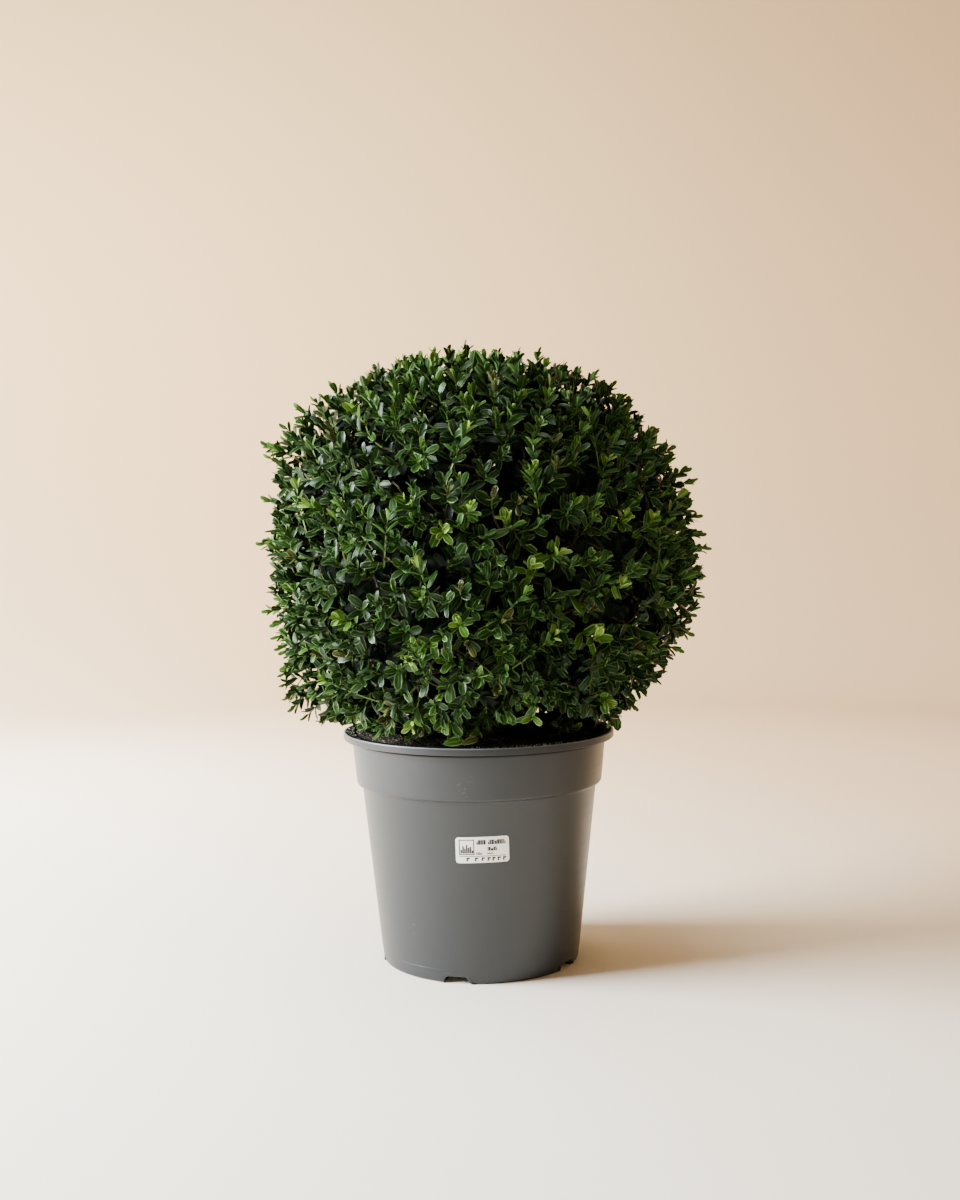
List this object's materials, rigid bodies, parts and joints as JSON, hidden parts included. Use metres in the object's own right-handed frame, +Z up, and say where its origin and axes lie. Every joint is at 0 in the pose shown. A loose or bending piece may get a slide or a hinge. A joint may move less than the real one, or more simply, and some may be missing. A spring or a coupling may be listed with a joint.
{
  "type": "clipped box ball in a nursery pot",
  "caption": "Evergreen shrub clipped to a dense leafy ball on a short stem, rooted in compost in a round tapered plastic pot with a stepped band and drain notches.",
  "frame": {"origin": "middle of the pot's flat underside, on the surface that the pot stands on", "axes": "+Z up along the pot's axis; -Y is the front, where the label is; +X is to the right seen from the front"},
  "size_m": [0.4355, 0.4207, 0.5936],
  "materials": {
    "leaf": "leathery evergreen leaves, glossy dark green above and paler below, yellow-green at the young tips",
    "bark": "rough grey-brown bark",
    "compost": "dark crumbly compost with fibres",
    "pot_plastic": "satin injection-moulded grey plastic with fine scuffs",
    "label_film": "satin white self-adhesive film with grey print"
  },
  "bodies": {
    "root": {"foliage_ball": "leaf", "stem": "bark", "soil": "compost", "pot": "pot_plastic", "label": "label_film"}
  },
  "joints": []
}
